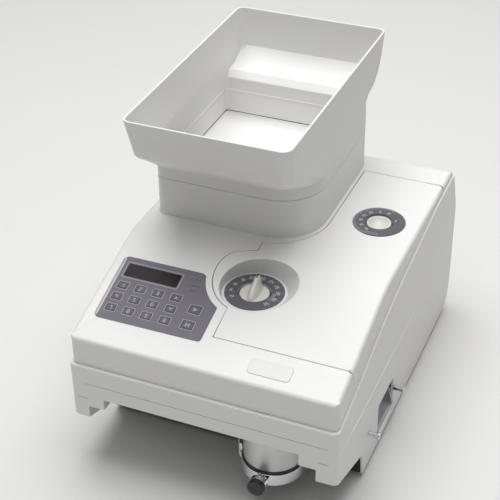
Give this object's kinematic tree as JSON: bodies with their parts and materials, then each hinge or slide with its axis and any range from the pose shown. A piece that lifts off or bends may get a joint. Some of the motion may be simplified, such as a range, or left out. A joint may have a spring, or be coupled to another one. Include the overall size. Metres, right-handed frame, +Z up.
{
  "type": "coin sorting machine",
  "caption": "Desktop coin sorting machine: white housing with sloped keypad top, setting dials, hinged access lid, lift-off hopper and front bag outlet.",
  "frame": {"origin": "middle of the whole machine's plan outline, on the floor under the rubber feet", "axes": "+X to the machine's right as its user faces the keypad, +Y from the front to the rear, +Z up"},
  "size_m": [0.354, 0.5146, 0.412],
  "materials": {
    "shell_white": "fine moulded texture, satin",
    "hopper_white": "smooth satin moulding",
    "black_paint": "black powder coat",
    "rubber_black": "matte",
    "panel_grey": "printed overlay film, fine texture",
    "window_black": "smooth tinted window",
    "lamp_clear": "frosted",
    "key_dark": "satin keycap",
    "badge_silver": "satin silver",
    "scale_dark": "printed scale, satin",
    "knob_cream": "satin moulding",
    "bare_steel": "brushed",
    "chrome_bright": "polished",
    "cast_alu": "fine blasted",
    "deck_alu": "brushed",
    "bronze": "oiled sintered bronze",
    "belt_rubber": "matte",
    "board_green": "solder mask",
    "motor_grey": "satin paint",
    "black_plastic": "satin",
    "zinc_plate": "zinc plated sheet"
  },
  "bodies": {
    "machine": {"lower_housing": "shell_white", "base_pan": "black_paint", "rubber_feet": "rubber_black", "top_cover": "shell_white", "lid_hinge_pins": "bare_steel", "keypad_overlay": "panel_grey", "display_window": "window_black", "indicator_lights": "lamp_clear", "badge_plate": "badge_silver", "control_board": "board_green", "deck_plate": "deck_alu", "deck_posts": "bare_steel", "disk_bearing": "bronze", "feed_bowl": "shell_white", "main_motor": "motor_grey", "main_belt": "belt_rubber", "coin_track": "deck_alu", "feed_belt": "belt_rubber", "feed_motor": "motor_grey", "count_sensor": "black_plastic", "power_supply": "zinc_plate", "power_inlet": "black_plastic", "bag_tube": "cast_alu", "clamp_band": "chrome_bright", "clamp_pin": "chrome_bright", "side_chute": "zinc_plate", "bag_pegs": "chrome_bright"},
    "hopper_body": {"hopper": "hopper_white"},
    "lid": {"access_lid": "shell_white", "size_scale_ring": "scale_dark", "thickness_scale_ring": "scale_dark"},
    "size_dial": {"size_knob": "knob_cream", "size_shaft": "bare_steel"},
    "rail": {"size_rail": "bare_steel"},
    "thickness_dial": {"thickness_knob": "knob_cream", "thickness_shaft": "bare_steel"},
    "gate": {"thickness_gate": "bare_steel"},
    "disk": {"disk_shaft": "bare_steel", "coin_disk": "cast_alu", "disk_pulley": "black_plastic"},
    "motor_rotor": {"motor_pulley": "bare_steel"},
    "front_roller": {"front_pulley": "black_plastic"},
    "rear_roller": {"rear_pulley": "black_plastic"},
    "rocker": {"power_switch": "black_plastic"},
    "jaw": {"clamp_jaw": "chrome_bright"},
    "jaw_knob": {"clamp_knob": "black_plastic"},
    "key_1_cap": {"key_1": "key_dark"},
    "key_2_cap": {"key_2": "key_dark"},
    "key_3_cap": {"key_3": "key_dark"},
    "key_4_cap": {"key_4": "key_dark"},
    "key_5_cap": {"key_5": "key_dark"},
    "key_6_cap": {"key_6": "key_dark"},
    "key_7_cap": {"key_7": "key_dark"},
    "key_8_cap": {"key_8": "key_dark"},
    "key_9_cap": {"key_9": "key_dark"},
    "key_10_cap": {"key_10": "key_dark"},
    "key_11_cap": {"key_11": "key_dark"},
    "key_12_cap": {"key_12": "key_dark"},
    "key_start_cap": {"key_start": "key_dark"},
    "key_clear_cap": {"key_clear": "key_dark"}
  },
  "joints": [
    {"name": "hopper_lift", "type": "slide", "parent": "machine", "child": "hopper_body", "axis": [0, 0, 1], "range_m": [0, 0.06]},
    {"name": "lid_hinge", "type": "hinge", "parent": "machine", "child": "lid", "pos_m": [0.103, 0.17355, 0.236], "axis": [-1, 0, 0], "range_deg": [0, 16]},
    {"name": "size_setting", "type": "hinge", "parent": "machine", "child": "size_dial", "pos_m": [0.0077, -0.10475, 0.2], "axis": [0, 0, -1], "range_deg": [0, 150]},
    {"name": "rail_slide", "type": "slide", "parent": "machine", "child": "rail", "axis": [1, 0, 0], "range_m": [0, 0.012]},
    {"name": "thickness_setting", "type": "hinge", "parent": "machine", "child": "thickness_dial", "pos_m": [0.1083, 0.06055, 0.2], "axis": [0, 0, -1], "range_deg": [0, 180]},
    {"name": "gate_lift", "type": "slide", "parent": "machine", "child": "gate", "axis": [0, 0, 1], "range_m": [0, 0.00298]},
    {"name": "disk_spin", "type": "hinge", "parent": "machine", "child": "disk", "pos_m": [-0.0565, 0.08475, 0.18], "axis": [0, 0, 1], "continuous": true},
    {"name": "motor_spin", "type": "hinge", "parent": "machine", "child": "motor_rotor", "pos_m": [0.055, 0.08475, 0.14], "axis": [0, 0, 1], "continuous": true},
    {"name": "front_roller_spin", "type": "hinge", "parent": "machine", "child": "front_roller", "pos_m": [0.078, -0.14725, 0.195], "axis": [1, 0, 0], "continuous": true},
    {"name": "rear_roller_spin", "type": "hinge", "parent": "machine", "child": "rear_roller", "pos_m": [0.078, 0.02275, 0.195], "axis": [1, 0, 0], "continuous": true},
    {"name": "power_rocker", "type": "hinge", "parent": "machine", "child": "rocker", "pos_m": [-0.067, 0.24675, 0.087], "axis": [1, 0, 0], "range_deg": [0, 16]},
    {"name": "jaw_hinge", "type": "hinge", "parent": "machine", "child": "jaw", "pos_m": [0.0285, -0.19925, 0.054], "axis": [0, 0, -1], "range_deg": [0, 60]},
    {"name": "jaw_screw", "type": "hinge", "parent": "jaw", "child": "jaw_knob", "pos_m": [0.07, -0.24925, 0.054], "axis": [0, -1, 0], "range_deg": [0, 360]},
    {"name": "key_1_press", "type": "slide", "parent": "machine", "child": "key_1_cap", "axis": [0, 0.289, -0.9573], "range_m": [0, 0.0008], "stiffness_N_per_m": 1500},
    {"name": "key_2_press", "type": "slide", "parent": "machine", "child": "key_2_cap", "axis": [0, 0.289, -0.9573], "range_m": [0, 0.0008], "stiffness_N_per_m": 1500},
    {"name": "key_3_press", "type": "slide", "parent": "machine", "child": "key_3_cap", "axis": [0, 0.289, -0.9573], "range_m": [0, 0.0008], "stiffness_N_per_m": 1500},
    {"name": "key_4_press", "type": "slide", "parent": "machine", "child": "key_4_cap", "axis": [0, 0.289, -0.9573], "range_m": [0, 0.0008], "stiffness_N_per_m": 1500},
    {"name": "key_5_press", "type": "slide", "parent": "machine", "child": "key_5_cap", "axis": [0, 0.289, -0.9573], "range_m": [0, 0.0008], "stiffness_N_per_m": 1500},
    {"name": "key_6_press", "type": "slide", "parent": "machine", "child": "key_6_cap", "axis": [0, 0.289, -0.9573], "range_m": [0, 0.0008], "stiffness_N_per_m": 1500},
    {"name": "key_7_press", "type": "slide", "parent": "machine", "child": "key_7_cap", "axis": [0, 0.289, -0.9573], "range_m": [0, 0.0008], "stiffness_N_per_m": 1500},
    {"name": "key_8_press", "type": "slide", "parent": "machine", "child": "key_8_cap", "axis": [0, 0.289, -0.9573], "range_m": [0, 0.0008], "stiffness_N_per_m": 1500},
    {"name": "key_9_press", "type": "slide", "parent": "machine", "child": "key_9_cap", "axis": [0, 0.289, -0.9573], "range_m": [0, 0.0008], "stiffness_N_per_m": 1500},
    {"name": "key_10_press", "type": "slide", "parent": "machine", "child": "key_10_cap", "axis": [0, 0.289, -0.9573], "range_m": [0, 0.0008], "stiffness_N_per_m": 1500},
    {"name": "key_11_press", "type": "slide", "parent": "machine", "child": "key_11_cap", "axis": [0, 0.289, -0.9573], "range_m": [0, 0.0008], "stiffness_N_per_m": 1500},
    {"name": "key_12_press", "type": "slide", "parent": "machine", "child": "key_12_cap", "axis": [0, 0.289, -0.9573], "range_m": [0, 0.0008], "stiffness_N_per_m": 1500},
    {"name": "key_start_press", "type": "slide", "parent": "machine", "child": "key_start_cap", "axis": [0, 0.289, -0.9573], "range_m": [0, 0.0008], "stiffness_N_per_m": 1500},
    {"name": "key_clear_press", "type": "slide", "parent": "machine", "child": "key_clear_cap", "axis": [0, 0.289, -0.9573], "range_m": [0, 0.0008], "stiffness_N_per_m": 1500}
  ],
  "couplings": [
    {"joint": "rail_slide", "follows": "size_setting", "m_per_rad": 0.0045},
    {"joint": "thickness_setting", "follows": "gate_lift", "rad_per_m": 1050},
    {"joint": "motor_spin", "follows": "disk_spin", "ratio": 3.75},
    {"joint": "rear_roller_spin", "follows": "front_roller_spin", "ratio": 1}
  ]
}
